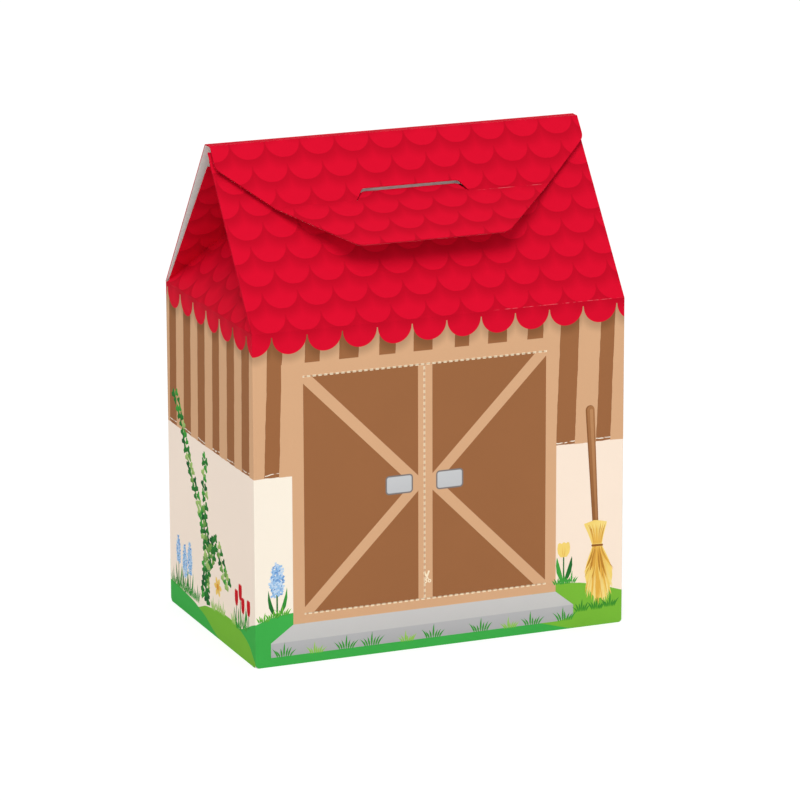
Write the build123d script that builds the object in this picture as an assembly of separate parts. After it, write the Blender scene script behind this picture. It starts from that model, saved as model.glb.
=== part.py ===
from build123d import *
from math import acos, asin, atan2, cos, degrees, hypot, radians, sin, tan
import os

# A gable-top carton in the shape of a barn, folded from one sheet of boxboard.
# Millimetres, +Z up, the front faces -Y, the origin is the centre of the base.
# Every panel between two creases is its own solid, and each crease lies on the
# printed side of the board, so panels turn about their printed edges.

# ---- sheet
board = 0.6  # thickness of the boxboard
cut_gap = 0.2  # width of a die-cut line between two panels
rest_gap = 0.3  # room between panels that lie on each other and move apart

# ---- walls
body_width = 190.0
body_depth = 119.0
eave_height = 162.0
corner_round = 0.45  # outer radius of a folded corner
bottom_corner = 2.0  # radius of the wall corners that stand on the floor

# ---- roof
overall_height = 240.6
spine_front_y = -4.6  # crease between the spine and the closing flap
spine_width = 5.6  # level strip on top of the ridge
flap_standoff = 3.4  # from the front roof panel's printed side to the flap's
front_roof_cover = 1.8  # how far the front roof panel reaches under the spine

# ---- closing flap, its lip and the lock tab
flap_side_inset = 0.5  # each end of the flap stays this far inside the walls
flap_straight = 11.8  # straight part of the flap's ends, below the spine
flap_drop = 34.4  # from the spine down to the lip crease
lip_crease_width = 140.6
lip_bottom_width = 75.8
lip_drop = 30.4
lip_turn = 23.0  # the lip stands out of the flap's plane by this angle, degrees
flap_corner = 6.0
lip_corner = 9.0
tab_height = 5.9
tab_root_width = 57.2
tab_top_width = 48.8
tab_corner = 2.5
slot_height = 5.4
slot_side_room = 2.8

# ---- folded-in gable ends
gable_slack = 7.0  # the triangles are this much shorter than the slope to the ridge
free_triangle_droop = 7.4  # how far the free back triangle leans in, degrees
free_triangle_inset = 0.9  # its free edge is cut back from the gable's side

# ---- doors
door_left_x = -70.0
door_right_x = 54.0
door_meeting_x = -8.8
door_bottom_z = 24.3
door_top_z = 139.8

# ---- glued seam and crash-lock floor
seam_flap_width = 15.0
seam_flap_foot = 8.0  # height of the seam flap's lower end
seam_flap_head = 10.0  # its upper end stays this far under the eave
seam_flap_taper = 4.0
lock_overlap = 9.0  # how far each long floor flap hooks past the middle
lock_slant = 8.0
floor_lock_room = 0.3
end_flap_reach = 56.0
end_flap_tip = 70.0
glue_corner_leg = 44.0

half_w = body_width / 2
half_d = body_depth / 2

# The closing flap lies parallel to the front roof panel at its standoff, which
# settles the front pitch; the back pitch follows from the spine's rear crease.
rise = overall_height - eave_height
flap_run = half_d + spine_front_y
pitch = atan2(rise, flap_run) - asin(flap_standoff / hypot(rise, flap_run))
back_pitch = atan2(rise, half_d - spine_front_y - spine_width)


def fold(points, turn):
    """Inner line of a folded sheet: the mitred offset of its printed line (y, z)."""
    directions = []
    for (y0, z0), (y1, z1) in zip(points, points[1:]):
        length = hypot(y1 - y0, z1 - z0)
        directions.append(((y1 - y0) / length, (z1 - z0) / length))
    inner = []
    for i, (y, z) in enumerate(points):
        dy0, dz0 = directions[max(i - 1, 0)]
        dy1, dz1 = directions[min(i, len(directions) - 1)]
        ny, nz = -(dz0 + dz1) * turn, (dy0 + dy1) * turn
        share = board * 2 / (ny * ny + nz * nz)
        inner.append((y + ny * share, z + nz * share))
    return inner


def folded_sheet(points, turn):
    """Cross-section of every panel of a folded sheet, mitred at its creases."""
    inner = fold(points, turn)
    return [
        [points[i], points[i + 1], inner[i + 1], inner[i]]
        for i in range(len(points) - 1)
    ]


def strip(section, x_from, x_to):
    """A panel: its cross-section in Y and Z, drawn from one x to another."""
    face = Plane.YZ.offset(x_from) * Polygon(*section, align=None)
    return extrude(face, amount=x_to - x_from, dir=(1, 0, 0))


def plate(corners, printed_side):
    """A flat panel through 3-D corners, with its thickness behind the printed side."""
    face = Face(Wire.make_polygon([Vector(*c) for c in corners], close=True))
    normal = face.normal_at()
    away = normal * (-1 if normal.dot(Vector(*printed_side)) > 0 else 1)
    return extrude(face, amount=board, dir=away)


def outline_prism(plane, points, radii, depth):
    """A rounded outline on a plane, drawn both ways, to trim a panel to its shape."""
    line = Polyline(*points, close=True)
    face = make_face(line)
    for (x, y), radius in radii:
        corner = face.vertices().sort_by_distance((x, y, 0))[0]
        face = fillet(corner, radius)
    return extrude(plane * face, amount=depth, both=True)


def slope_plane(origin_yz, angle):
    """A plane on the printed side of a front slope, its y axis running up the slope."""
    return Plane(
        origin=(0, *origin_yz), x_dir=(1, 0, 0), z_dir=(0, -sin(angle), cos(angle))
    )


# ---- folded lines of the sheet, from the floor over the eaves, as (y, z)
front_roof_run = flap_run + front_roof_cover
front_line = [
    (0, 0),
    (-half_d, 0),
    (-half_d, eave_height),
    (front_roof_run - half_d, eave_height + front_roof_run * tan(pitch)),
]
flap_crease = (
    spine_front_y - flap_drop * cos(pitch),
    overall_height - flap_drop * sin(pitch),
)
back_line = [
    (0, 0),
    (half_d, 0),
    (half_d, eave_height),
    (spine_front_y + spine_width, overall_height),
    (spine_front_y, overall_height),
    flap_crease,
]
front_sections = folded_sheet(front_line, -1)
back_sections = folded_sheet(back_line, 1)

roof_plane = slope_plane((-half_d, eave_height), pitch)
flap_plane = slope_plane((spine_front_y, overall_height), pitch)
lip_plane = slope_plane(flap_crease, pitch - radians(lip_turn))


def rounded_wall(section):
    """A long wall with softened upright folds and its two lower corners rounded."""
    outer_y = max((y for y, z in section), key=abs)
    wall = strip(section, -half_w, half_w)
    wall = fillet(printed_ends(wall, Plane.XZ.offset(-outer_y)), corner_round)
    return wall & foot_outline(Plane.XZ, body_width)


def printed_ends(panel, printed_plane):
    """The two end edges of a full-width panel that lie on its printed plane."""
    return [
        edge
        for edge in panel.edges()
        if abs(abs(edge.center().X) - half_w) < 0.01
        and abs(printed_plane.to_local_coords(edge.center()).Z) < 0.01
    ]


def foot_outline(plane, width):
    """Outline of a wall from its lower crease up, with rounded lower corners."""
    face = plane * Rectangle(width, eave_height, align=(Align.CENTER, Align.MIN))
    low = face.vertices().group_by(Axis.Z)[0]
    return extrude(fillet(low, bottom_corner), amount=body_width, both=True)


def front_wall():
    """The front wall with the doorway cut out of it."""
    doorway = Box(
        door_right_x - door_left_x,
        4 * board,
        door_top_z - door_bottom_z,
        align=(Align.MIN, Align.CENTER, Align.MIN),
    )
    return rounded_wall(front_sections[1]) - Pos(
        door_left_x, -half_d, door_bottom_z
    ) * doorway


def door(hinge_x, meeting_x):
    """A door leaf: creased to the wall on its hinge side, die-cut on the other three."""
    side = 1 if meeting_x > hinge_x else -1
    width = abs(meeting_x - hinge_x) - cut_gap / 2
    leaf = Box(
        width,
        board,
        door_top_z - door_bottom_z - 2 * cut_gap,
        align=(Align.MIN, Align.MIN, Align.MIN),
    )
    left = hinge_x if side > 0 else hinge_x - width
    return Pos(left, -half_d, door_bottom_z + cut_gap) * leaf


def side_wall(side):
    """A side wall between the long walls, mitred at the top for the gable end."""
    wall = Box(
        board,
        body_depth - 2 * board,
        eave_height,
        align=(Align.MIN, Align.CENTER, Align.MIN),
    )
    wall = Pos(-half_w, 0, 0) * wall
    wall = wall & foot_outline(Plane.YZ, body_depth - 2 * board)
    wall = split(wall, bisect_by=gable_mitre(), keep=Keep.BOTTOM)
    for slope in (front_sections[2], back_sections[2]):
        wall = wall - strip(slope, -half_w, half_w)
    return wall if side < 0 else mirror(wall, about=Plane.YZ)


# ---- the gable end's four-crease corner, on the printed side of the board
gable_front_y = 2 * board / sin(pitch) - half_d
gable_back_y = half_d - (2 * board + rest_gap) / sin(back_pitch)
gable_half = (gable_back_y - gable_front_y) / 2
gable_rise = gable_half / cos(pitch) - gable_slack
gable_lean = acos((1 - cos(pitch) * gable_half / gable_rise) / sin(pitch))


def gable_mitre():
    """Plane that halves the fold between the left wall and its centre triangle."""
    return Plane(
        origin=(-half_w, 0, eave_height),
        x_dir=(0, 1, 0),
        z_dir=(sin(gable_lean / 2), 0, cos(gable_lean / 2)),
    )


def gable_points():
    """Corners of the left gable end: two at the eaves, the apex, and two at the top."""
    a_front = Vector(-half_w, gable_front_y, eave_height)
    a_back = Vector(-half_w, gable_back_y, eave_height)
    reach = Vector(sin(gable_lean), 0, cos(gable_lean)) * gable_rise
    apex = (a_front + a_back) / 2 + reach
    r_front = a_front + Vector(0, cos(pitch), sin(pitch)) * gable_rise
    edge = Vector(0, -cos(back_pitch), sin(back_pitch)) * gable_rise
    edge = edge.rotate(Axis((0, 0, 0), apex - a_back), free_triangle_droop)
    return a_front, a_back, apex, r_front, a_back + edge


def gable_end(side):
    """Centre, front and back triangle of one folded-in gable end."""
    a_front, a_back, apex, r_front, r_back = gable_points()
    outside = (-1, 0, 0.8)
    centre = plate([a_front, a_back, apex], outside)
    centre = split(centre, bisect_by=gable_mitre(), keep=Keep.TOP)
    front = plate([a_front, apex, r_front], (0, 0.8, -0.6))
    crease = (apex - a_back).normalized()
    foot = a_back + crease * 2 * free_triangle_inset
    tip = apex - crease * free_triangle_inset
    head = r_back + (tip - r_back).normalized() * free_triangle_inset
    back = plate([foot, tip, head], (0, -0.8, -0.6))
    panels = [centre, front, back]
    return panels if side < 0 else [mirror(p, about=Plane.YZ) for p in panels]


def front_roof_panel():
    """The front slope, with softened ends and the slot that takes the lock tab."""
    panel = strip(front_sections[2], -half_w, half_w)
    panel = fillet(printed_ends(panel, roof_plane), corner_round)
    half_slot = tab_root_width / 2 + slot_side_room
    low = -flap_drop
    slot = outline_prism(
        flap_plane,
        [
            (-half_slot, low),
            (half_slot, low),
            (half_slot, low + slot_height),
            (-half_slot, low + slot_height),
        ],
        [],
        board * 12,
    )
    return panel - slot


def tab_points(room):
    """Lock tab above the lip crease, larger all round by the room given."""
    root, top = tab_root_width / 2 + room, tab_top_width / 2 + room
    return [(root, 0), (top, tab_height + room), (-top, tab_height + room), (-root, 0)]


def closing_flap():
    """The flap's upper part, trimmed to its outline, with the cut-out of the lock tab."""
    half_flap, half_crease = half_w - flap_side_inset, lip_crease_width / 2
    outline = [
        (half_flap, board * 2),
        (half_flap, -flap_straight),
        (half_crease, -flap_drop),
        (-half_crease, -flap_drop),
        (-half_flap, -flap_straight),
        (-half_flap, board * 2),
    ]
    corners = [((s * half_flap, -flap_straight), flap_corner) for s in (-1, 1)]
    panel = strip(back_sections[4], -half_flap, half_flap)
    panel = panel & outline_prism(flap_plane, outline, corners, board * 3)
    tab = [(x, y - flap_drop) for x, y in tab_points(cut_gap)]
    rounds = [(p, tab_corner) for p in tab[1:3]]
    tab_cut = outline_prism(
        flap_plane,
        [tab[0], *tab[1:3], tab[3], (tab[3][0], tab[3][1] - 1), (tab[0][0], tab[0][1] - 1)],
        rounds,
        board * 3,
    )
    return panel - tab_cut


def lock_lip():
    """The lip below the crease and, above the crease, the tab that tips inwards."""
    half_crease, half_bottom = lip_crease_width / 2, lip_bottom_width / 2
    outline = [
        (half_crease, 0),
        *tab_points(0),
        (-half_crease, 0),
        (-half_bottom, -lip_drop),
        (half_bottom, -lip_drop),
    ]
    corners = [((s * half_bottom, -lip_drop), lip_corner) for s in (-1, 1)]
    corners += [(p, tab_corner) for p in tab_points(0)[1:3]]
    prism = outline_prism(lip_plane, outline, corners, board * 2)
    sheet = Pos(0, 0, -board / 2) * Box(body_width, body_width, board)
    return prism & (lip_plane * sheet)


def seam_flap():
    """Glue flap of the maker's seam, behind the back wall at its left end."""
    foot, head = seam_flap_foot, eave_height - seam_flap_head
    x_near, x_far = -half_w + board, -half_w + board + seam_flap_width
    face = Plane.XZ.offset(-(half_d - board)) * Polygon(
        (x_near, foot),
        (x_far, foot + seam_flap_taper),
        (x_far, head - seam_flap_taper),
        (x_near, head),
        align=None,
    )
    return extrude(face, amount=board, dir=(0, -1, 0))


def long_floor_flap(section, side):
    """A long floor flap, hooked past the middle on one half and set back on the other."""
    reach = side * (lock_overlap - floor_lock_room / 2)
    back_off = side * (lock_overlap + floor_lock_room / 2)
    half = half_w - board - rest_gap
    turn = -side
    outline = [
        (turn * -half, -side * half_d * 2),
        (turn * -half, reach),
        (turn * -lock_slant, reach),
        (turn * lock_slant, -back_off),
        (turn * half, -back_off),
        (turn * half, -side * half_d * 2),
    ]
    inner_edge = max(reach, -reach, key=abs)
    deep = [(y if abs(y) > board else inner_edge, z) for y, z in section]
    panel = strip(deep, -half, half)
    trim = extrude(Polygon(*outline, align=None), amount=2 * board, both=True)
    return panel & trim


def end_floor_flap(side):
    """A short floor flap, tapered like a trapezoid, on top of the glue corners."""
    root = half_w - board
    points = [
        (side * root, -half_d + board + rest_gap),
        (side * root, half_d - board - rest_gap),
        (side * (root - end_flap_reach), end_flap_tip / 2),
        (side * (root - end_flap_reach), -end_flap_tip / 2),
    ]
    face = Pos(0, 0, 2 * board) * Polygon(*points, align=None)
    return extrude(face, amount=board, dir=(0, 0, 1))


def glue_corner(side):
    """The corner that folds back from a long flap and is glued under an end flap."""
    x_root = side * (half_w - board - rest_gap)
    y_root = side * (half_d - board - rest_gap)
    points = [
        (x_root, y_root),
        (x_root, y_root - side * glue_corner_leg),
        (x_root - side * glue_corner_leg, y_root),
    ]
    face = Pos(0, 0, board) * Polygon(*points, align=None)
    return extrude(face, amount=board, dir=(0, 0, 1))


left_gable = gable_end(-1)
right_gable = gable_end(1)

nodes = {
    "front_wall": front_wall(),
    "left_door": door(door_left_x, door_meeting_x),
    "right_door": door(door_right_x, door_meeting_x),
    "back_wall": rounded_wall(back_sections[1]),
    "left_wall": side_wall(-1),
    "right_wall": side_wall(1),
    "seam_glue_flap": seam_flap(),
    "front_floor_flap": long_floor_flap(front_sections[0], 1),
    "back_floor_flap": long_floor_flap(back_sections[0], -1),
    "left_floor_flap": end_floor_flap(-1),
    "right_floor_flap": end_floor_flap(1),
    "left_glue_corner": glue_corner(-1),
    "right_glue_corner": glue_corner(1),
    "front_roof_panel": front_roof_panel(),
    "back_roof_panel": strip(back_sections[2], -half_w, half_w),
    "ridge_spine": strip(
        back_sections[3], -half_w + flap_side_inset, half_w - flap_side_inset
    ),
    "closing_flap": closing_flap(),
    "lock_lip": lock_lip(),
    "left_gable_centre": left_gable[0],
    "left_gable_front": left_gable[1],
    "left_gable_back": left_gable[2],
    "right_gable_centre": right_gable[0],
    "right_gable_front": right_gable[1],
    "right_gable_back": right_gable[2],
}

os.makedirs("parts", exist_ok=True)
for name, solid in nodes.items():
    export_step(solid, f"parts/{name}.step")

print("roof pitch behind", round(degrees(back_pitch), 2))
print("lid crease", half_d, eave_height)
print("spine crease", spine_front_y + spine_width, overall_height)
print("flap crease", spine_front_y, overall_height)
print("lip crease", [round(v, 4) for v in flap_crease])
for label, point in zip("AF AB P RF RB".split(), gable_points()):
    print("gable", label, [round(v, 4) for v in point])
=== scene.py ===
"""Toy barn with opening doors: the printed finishes, garden prints and stage
that dress the folded boxboard model."""

import math
import random

import bmesh
import bpy
from mathutils import Matrix, Vector


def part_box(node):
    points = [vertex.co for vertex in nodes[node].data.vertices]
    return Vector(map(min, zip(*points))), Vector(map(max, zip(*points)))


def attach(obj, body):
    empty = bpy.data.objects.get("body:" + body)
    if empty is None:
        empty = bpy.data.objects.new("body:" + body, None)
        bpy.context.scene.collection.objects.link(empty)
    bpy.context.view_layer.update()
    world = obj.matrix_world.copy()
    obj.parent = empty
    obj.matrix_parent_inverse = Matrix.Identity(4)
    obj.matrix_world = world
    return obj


bl_info = {
    "name": "Toy barn with opening doors",
    "version": (1, 0, 0),
    "blender": (4, 5, 0),
    "location": "View3D > Sidebar > Toy Barn",
    "description": "Dresses a folded toy barn carton with its print and its stage",
    "category": "Object",
}

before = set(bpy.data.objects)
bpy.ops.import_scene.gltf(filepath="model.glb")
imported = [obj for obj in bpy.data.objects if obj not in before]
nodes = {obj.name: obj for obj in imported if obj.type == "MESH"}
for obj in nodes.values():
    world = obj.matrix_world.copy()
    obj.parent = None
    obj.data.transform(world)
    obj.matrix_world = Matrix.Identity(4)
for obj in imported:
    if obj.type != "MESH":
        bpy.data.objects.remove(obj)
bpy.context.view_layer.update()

MM = 0.001


def paint(red, green, blue):
    """A printed colour in 0-255 steps as the linear colour that a shader takes."""
    shares = [step / 255 for step in (red, green, blue)]
    return tuple(
        s / 12.92 if s <= 0.04045 else ((s + 0.055) / 1.055) ** 2.4 for s in shares
    )


# ---- the model's own sizes, in millimetres, read from its packed panels
wall_low, wall_high = (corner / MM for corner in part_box("front_wall"))
HALF_WIDTH = wall_high.x
HALF_DEPTH = -wall_low.y
EAVE = wall_high.z
RIDGE = (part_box("ridge_spine")[1] / MM).z
BOARD = wall_high.y - wall_low.y

# ---- the folded roof, which settles each printed plane
SPINE_FRONT_Y = -4.6
SPINE_WIDTH = 5.6
FLAP_STANDOFF = 3.4
FLAP_DROP = 34.4
LIP_TURN = math.radians(23.0)
RISE = RIDGE - EAVE
FLAP_RUN = HALF_DEPTH + SPINE_FRONT_Y
PITCH = math.atan2(RISE, FLAP_RUN) - math.asin(FLAP_STANDOFF / math.hypot(RISE, FLAP_RUN))
BACK_PITCH = math.atan2(RISE, HALF_DEPTH - SPINE_FRONT_Y - SPINE_WIDTH)

front_slope = Vector((0, math.cos(PITCH), math.sin(PITCH)))
back_slope = Vector((0, -math.cos(BACK_PITCH), math.sin(BACK_PITCH)))

# ---- corners of the left folded gable end, whose four creases meet at the apex
REST_GAP = 0.3  # room between the free back triangle and the lid
GABLE_SLACK = 7.0  # the triangles are this much shorter than the slope to the ridge
FREE_DROOP = math.radians(7.4)  # the back triangle hangs this far off the back slope
front_foot_y = 2 * BOARD / math.sin(PITCH) - HALF_DEPTH
back_foot_y = HALF_DEPTH - (2 * BOARD + REST_GAP) / math.sin(BACK_PITCH)
gable_half = (back_foot_y - front_foot_y) / 2
GABLE_RISE = gable_half / math.cos(PITCH) - GABLE_SLACK
gable_lean = math.acos(
    (1 - math.cos(PITCH) * gable_half / GABLE_RISE) / math.sin(PITCH)
)
gable_up = Vector((math.sin(gable_lean), 0, math.cos(gable_lean)))
FRONT_FOOT = Vector((-HALF_WIDTH, front_foot_y, EAVE))
BACK_FOOT = Vector((-HALF_WIDTH, back_foot_y, EAVE))
APEX = (FRONT_FOOT + BACK_FOOT) / 2 + gable_up * GABLE_RISE
FRONT_HEAD = FRONT_FOOT + front_slope * GABLE_RISE
BACK_HEAD = BACK_FOOT + Matrix.Rotation(FREE_DROOP, 3, APEX - BACK_FOOT) @ (
    back_slope * GABLE_RISE
)


class Panel:
    """The printed plane of a panel: its start and the ways its print runs, in mm."""

    def __init__(self, start, across, up):
        self.start = Vector(start)
        self.across = Vector(across)
        self.up = Vector(up)
        self.out = self.across.cross(self.up)

    def placing(self):
        """The matrix that takes millimetres on this panel to the model in metres."""
        turn = Matrix((self.across, self.up, self.out)).transposed().to_4x4()
        return Matrix.Scale(MM, 4) @ Matrix.Translation(self.start) @ turn

    def mirrored(self):
        """The same panel on the other end of the barn."""
        flip = Vector((-1, 1, 1))
        return Panel(self.start * flip, self.across * flip * -1, self.up * flip)


def folded_wing(foot, head, sheet_foot, outward):
    """A gable wing: its print carries on from the centre triangle over their crease."""
    crease = (APEX - foot).normalized()
    rest = head - foot
    away = (rest - crease * rest.dot(crease)).normalized()
    sheet_crease = Vector((-outward * abs(sheet_foot.x), GABLE_RISE)).normalized()
    sheet_away = Vector((outward * sheet_crease.y, abs(sheet_crease.x)))
    across = crease * sheet_crease.x + away * sheet_away.x
    up = crease * sheet_crease.y + away * sheet_away.y
    start = foot - across * sheet_foot.x - up * sheet_foot.y
    return Panel(start, across, up)


FRONT = Panel((0, -HALF_DEPTH, 0), (1, 0, 0), (0, 0, 1))
BACK = Panel((0, HALF_DEPTH, 0), (-1, 0, 0), (0, 0, 1))
LEFT = Panel((-HALF_WIDTH, 0, 0), (0, -1, 0), (0, 0, 1))
RIGHT = Panel((HALF_WIDTH, 0, 0), (0, 1, 0), (0, 0, 1))
FRONT_ROOF = Panel((0, -HALF_DEPTH, EAVE), (1, 0, 0), front_slope)
BACK_ROOF = Panel((0, HALF_DEPTH, EAVE), (-1, 0, 0), back_slope)
SPINE = Panel((0, SPINE_FRONT_Y, RIDGE), (1, 0, 0), (0, 1, 0))
FLAP = Panel((0, SPINE_FRONT_Y, RIDGE), (1, 0, 0), front_slope)
LIP = Panel(
    FLAP.start - FLAP.up * FLAP_DROP,
    (1, 0, 0),
    (0, math.cos(PITCH - LIP_TURN), math.sin(PITCH - LIP_TURN)),
)
GABLE = Panel((-HALF_WIDTH, 0, EAVE), (0, -1, 0), gable_up)
FRONT_WING = folded_wing(FRONT_FOOT, FRONT_HEAD, Vector((-FRONT_FOOT.y, 0)), 1)
BACK_WING = folded_wing(BACK_FOOT, BACK_HEAD, Vector((-BACK_FOOT.y, 0)), -1)


# ---------------------------------------------------------------- properties


def length(name, description, default):
    return bpy.props.FloatProperty(
        name=name,
        description=description,
        default=default * MM,
        unit="LENGTH",
        precision=5,
    )


def amount(name, description, default):
    return bpy.props.FloatProperty(name=name, description=description, default=default)


def colour(name, description, red, green, blue):
    return bpy.props.FloatVectorProperty(
        name=name,
        description=description,
        default=paint(red, green, blue),
        subtype="COLOR",
        size=3,
        min=0,
        max=1,
    )


class BarnBoard(bpy.types.PropertyGroup):
    inner: colour("Inner board", "Raw side of the boxboard", 236, 228, 224)
    core: colour("Cut edge", "Core of the board at a cut edge", 232, 222, 212)
    outer: colour("Coated board", "White coated side without print", 242, 240, 235)
    gloss: amount("Coat gloss", "How much the printed coat shines", 0.012)


class BarnRoof(bpy.types.PropertyGroup):
    scale_width: length("Shingle width", "Width of one rounded shingle", 17.62)
    row_rise: length("Row rise", "From one row of shingles to the next", 11.9)
    scale_radius: length("Shingle radius", "Radius of a shingle's lower end", 8.65)
    halo: length("Shade width", "How far a shingle's painted shade reaches", 8.0)
    bright: colour("Shingle red", "Middle of a shingle", 221, 15, 46)
    shade: colour("Shade red", "Painted shade under a shingle", 195, 12, 38)
    edge: colour("Roof cut edge", "Cut edges of the printed roof parts", 198, 14, 40)


class BarnSiding(bpy.types.PropertyGroup):
    light: colour("Light boards", "Light vertical siding boards and beams", 219, 173, 133)
    dark: colour("Dark boards", "Dark vertical siding boards and doors", 159, 106, 68)
    plaster: colour("Plaster", "Cream wall below the siding", 255, 245, 228)
    plaster_far: colour("Plaster, far end", "Cream wall at its other end", 254, 235, 216)
    side_plaster: colour("Side plaster", "Cream wall on the sides", 255, 238, 222)
    foot: length("Siding foot", "Height at which the siding boards end", 92.3)
    scallop_tip: length("Scallop tip", "Height of the lowest roof scallops", 151.2)


class BarnDoors(bpy.types.PropertyGroup):
    brace: length("Brace width", "Width of the slanting braces", 5.3)
    beam_top: length("Beam top", "Upper edge of the beam over the doors", 146.3)
    latch_width: length("Latch width", "Printed latch plate, across", 13.7)
    latch_height: length("Latch height", "Printed latch plate, upright", 9.0)
    latch: colour("Latch", "Printed latch plates", 200, 202, 204)
    latch_line: colour("Latch outline", "Line round the latch plates", 128, 122, 120)
    dash: colour("Dashes", "Printed dashes along the cut lines", 255, 236, 204)
    cut: colour("Door cut edge", "Cut edges of the doors and their frame", 255, 238, 214)
    dash_pitch: length("Dash pitch", "From one printed dash to the next", 2.88)
    step_top: colour("Step, top", "Upper face of the painted doorstep", 204, 203, 202)
    step_front: colour("Step, front", "Front face of the painted doorstep", 181, 181, 183)


class BarnGarden(bpy.types.PropertyGroup):
    near_green: colour("Hill green", "Nearer hills", 66, 176, 78)
    far_green: colour("Light hill green", "Lighter hills", 122, 186, 60)
    film: length("Print thickness", "Thickness of the garden prints", 0.015)
    seed: bpy.props.IntProperty(
        name="Seed", description="Settles the scatter of the garden prints", default=7
    )


class BarnStage(bpy.types.PropertyGroup):
    key: amount("Key light", "Power of the large soft lamp", 73.0)
    fill: amount("Fill light", "Power of the soft lamp behind", 16.0)
    sky: amount("Room light", "Strength of the even room light", 0.5)
    floor: colour("Floor", "Pale studio floor", 250, 250, 250)
    shadow: amount("Shadow", "How much of its shading the floor shows", 0.34)


# ------------------------------------------------------------ finishes as sums


SOFT = 0.16  # millimetres over which a printed edge changes, where none is given
LINE_TOP = 40.0  # the highest that a painted line may rise, in millimetres


class Reading:
    """A socket whose value varies over a surface. Sums written with it add nodes."""

    def __init__(self, finish, socket):
        self.finish = finish
        self.socket = socket

    def __add__(self, other):
        return self.finish.maths("ADD", self, other)

    __radd__ = __add__

    def __sub__(self, other):
        return self.finish.maths("SUBTRACT", self, other)

    def __rsub__(self, other):
        return self.finish.maths("SUBTRACT", other, self)

    def __mul__(self, other):
        return self.finish.maths("MULTIPLY", self, other)

    __rmul__ = __mul__

    def __truediv__(self, other):
        return self.finish.maths("DIVIDE", self, other)

    def __abs__(self):
        return self.finish.maths("ABSOLUTE", self)

    def __mod__(self, other):
        return self.finish.maths("FLOORED_MODULO", self, other)

    def floor(self):
        return self.finish.maths("FLOOR", self)

    def least(self, other):
        return self.finish.maths("MINIMUM", self, other)

    def most(self, other):
        return self.finish.maths("MAXIMUM", self, other)

    def wrap(self, half):
        """The value brought into the range from -half to half, over and over."""
        return self.finish.maths("WRAP", self, half, -half)

    def over(self, edge, soft=SOFT):
        """1 where the value is above an edge and 0 below it, with a soft change."""
        if isinstance(edge, Reading):
            return (self - edge).over(0, soft)
        shift = 0.5 - edge / soft
        return self.finish.maths("MULTIPLY_ADD", self, 1 / soft, shift, clamp=True)

    def under(self, edge, soft=SOFT):
        """1 where the value is below an edge and 0 above it, with a soft change."""
        if isinstance(edge, Reading):
            return (edge - self).over(0, soft)
        shift = 0.5 + edge / soft
        return self.finish.maths("MULTIPLY_ADD", self, -1 / soft, shift, clamp=True)

    def between(self, low, high, soft=SOFT):
        """1 where the value is between two edges and 0 outside them."""
        middle, half = (low + high) / 2, (high - low) / 2
        return abs(self - middle).under(half, soft)

    def ease(self, low, high):
        """A smooth change from 0 at low to 1 at high."""
        return self.finish.node(
            "MapRange",
            {"interpolation_type": "SMOOTHSTEP"},
            {0: self, 1: low, 2: high, 3: 0.0, 4: 1.0},
        )


def reach(a, b):
    """The length of a step whose two legs are readings."""
    return a.finish.maths("SQRT", a * a + b * b)


class NodeMaker:
    """Adds the nodes of one tree."""

    def __init__(self, tree):
        self.tree = tree

    def feed(self, socket, value):
        if isinstance(value, Reading):
            self.tree.links.new(value.socket, socket)
        elif socket.type == "RGBA" and len(value) == 3:
            socket.default_value = (*value, 1)
        else:
            socket.default_value = value

    def node(self, kind, settings=None, inputs=None, output=0):
        made = self.tree.nodes.new("ShaderNode" + kind)
        for setting, value in (settings or {}).items():
            if setting == "stops":
                ramp = made.color_ramp
                while len(ramp.elements) < len(value):
                    ramp.elements.new(1)
                for element, (position, shown) in zip(ramp.elements, value):
                    element.position = position
                    element.color = (shown, shown, shown, 1)
            elif setting == "steps":
                made.color_ramp.interpolation = value
            else:
                setattr(made, setting, value)
        for socket, value in (inputs or {}).items():
            self.feed(made.inputs[socket], value)
        return Reading(self, made.outputs[output])

    def maths(self, operation, *values, clamp=False):
        settings = {"operation": operation, "use_clamp": clamp}
        return self.node("Math", settings, dict(enumerate(values)))

    def laid(self, under, top, share):
        """One colour laid over another, by a share from 0 to 1."""
        colours = {0: share, 6: under, 7: top}
        return self.node("Mix", {"data_type": "RGBA"}, colours, output=2)

    def dimmed(self, under, share):
        """A colour or vector multiplied by a share, where 1 leaves it as it is."""
        return self.node("VectorMath", {"operation": "SCALE"}, {0: under, "Scale": share})

    def seen(self):
        """1 for rays that show the background: from the camera, mirrored or refracted."""
        rays = ("Is Camera Ray", "Is Glossy Ray", "Is Transmission Ray")
        camera, glossy, through = (self.node("LightPath", output=ray) for ray in rays)
        return camera.most(glossy).most(through)


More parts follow.
